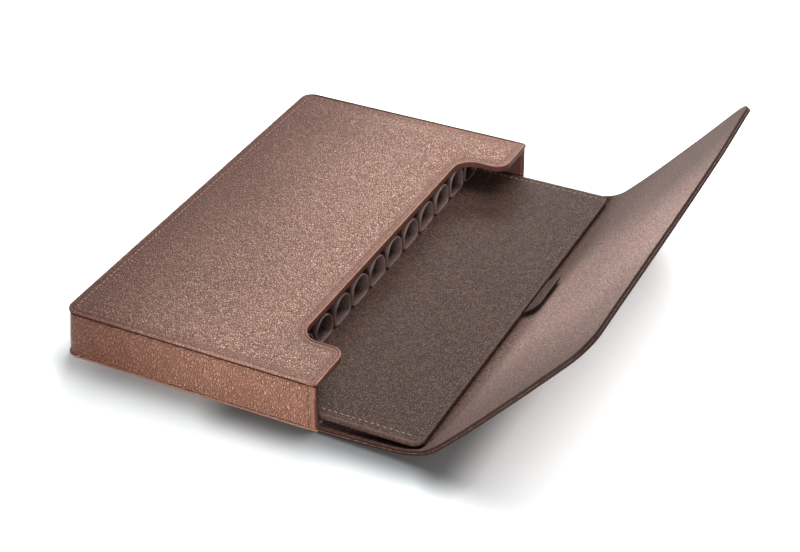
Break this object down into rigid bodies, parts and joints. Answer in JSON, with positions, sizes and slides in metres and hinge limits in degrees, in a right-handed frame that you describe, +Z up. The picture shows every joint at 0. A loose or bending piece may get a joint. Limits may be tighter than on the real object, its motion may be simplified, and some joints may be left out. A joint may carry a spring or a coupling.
{
  "type": "pen case",
  "caption": "Leather slip case for pens: an open sleeve with a notched padded top, a sliding tray with pen loops and pull tab, and a folding magnetic flap.",
  "frame": {"origin": "centre of the sleeve's base, on the surface it lies on", "axes": "+X out of the sleeve's mouth, towards the flap; +Y along the mouth; +Z up, square to the base"},
  "size_m": [0.2377, 0.216, 0.0795],
  "materials": {
    "shell_leather": "pebble grain, satin, reddish brown",
    "edge_leather": "turned and burnished edges",
    "welt_leather": "dark brown, matt",
    "lining_suede": "suede, greyish brown",
    "tray_leather": "fine grain, satin, brown",
    "loop_leather": "fine grain, dark brown",
    "greyboard": "dense grey board",
    "padding_foam": "thin felt padding",
    "magnet_metal": "nickel plated magnet"
  },
  "bodies": {
    "sleeve": {"base_leather": "shell_leather", "base_board": "greyboard", "base_lining": "lining_suede", "tongue_board": "greyboard", "tongue_lining": "lining_suede", "wall_leather": "shell_leather", "near_wall_board": "greyboard", "far_wall_board": "greyboard", "back_wall_board": "greyboard", "wall_lining": "lining_suede", "top_seam_welt": "welt_leather", "top_leather": "shell_leather", "top_pad": "padding_foam", "top_board": "greyboard", "top_lining": "lining_suede", "notch_binding": "edge_leather", "case_magnets": "magnet_metal"},
    "flap_front": {"flap_front_leather": "shell_leather", "flap_front_board": "greyboard", "flap_front_lining": "lining_suede", "lower_fold_strip": "edge_leather"},
    "flap_cover": {"flap_cover_leather": "shell_leather", "flap_cover_board": "greyboard", "flap_cover_lining": "lining_suede", "upper_fold_strip": "edge_leather", "flap_magnets": "magnet_metal"},
    "tray": {"tray_board": "greyboard", "tray_leather": "tray_leather", "tray_lining": "lining_suede", "tab_anchor": "tray_leather", "pen_loop_01": "loop_leather", "pen_loop_02": "loop_leather", "pen_loop_03": "loop_leather", "pen_loop_04": "loop_leather", "pen_loop_05": "loop_leather", "pen_loop_06": "loop_leather", "pen_loop_07": "loop_leather", "pen_loop_08": "loop_leather", "pen_loop_09": "loop_leather", "pen_loop_10": "loop_leather", "pen_loop_11": "loop_leather", "pen_loop_12": "loop_leather"},
    "pull_tab": {"pull_tab": "tray_leather"}
  },
  "joints": [
    {"name": "flap_fold", "type": "hinge", "parent": "sleeve", "child": "flap_front", "pos_m": [0.10925, 0, 0.0012], "axis": [0, -1, 0], "range_deg": [-49.5, 40.5]},
    {"name": "cover_fold", "type": "hinge", "parent": "flap_front", "child": "flap_cover", "pos_m": [0.12575, 0, 0.02051], "axis": [0, -1, 0], "range_deg": [0, 90]},
    {"name": "tray_slide", "type": "slide", "parent": "sleeve", "child": "tray", "axis": [1, 0, 0], "range_m": [-0.012, 0]},
    {"name": "tab_bend", "type": "hinge", "parent": "tray", "child": "pull_tab", "pos_m": [0.1074, 0, 0.0059], "axis": [0, -1, 0], "range_deg": [-61.3, 50.3]}
  ],
  "couplings": [
    {"joint": "tab_bend", "follows": "flap_fold", "ratio": 1.2346}
  ]
}
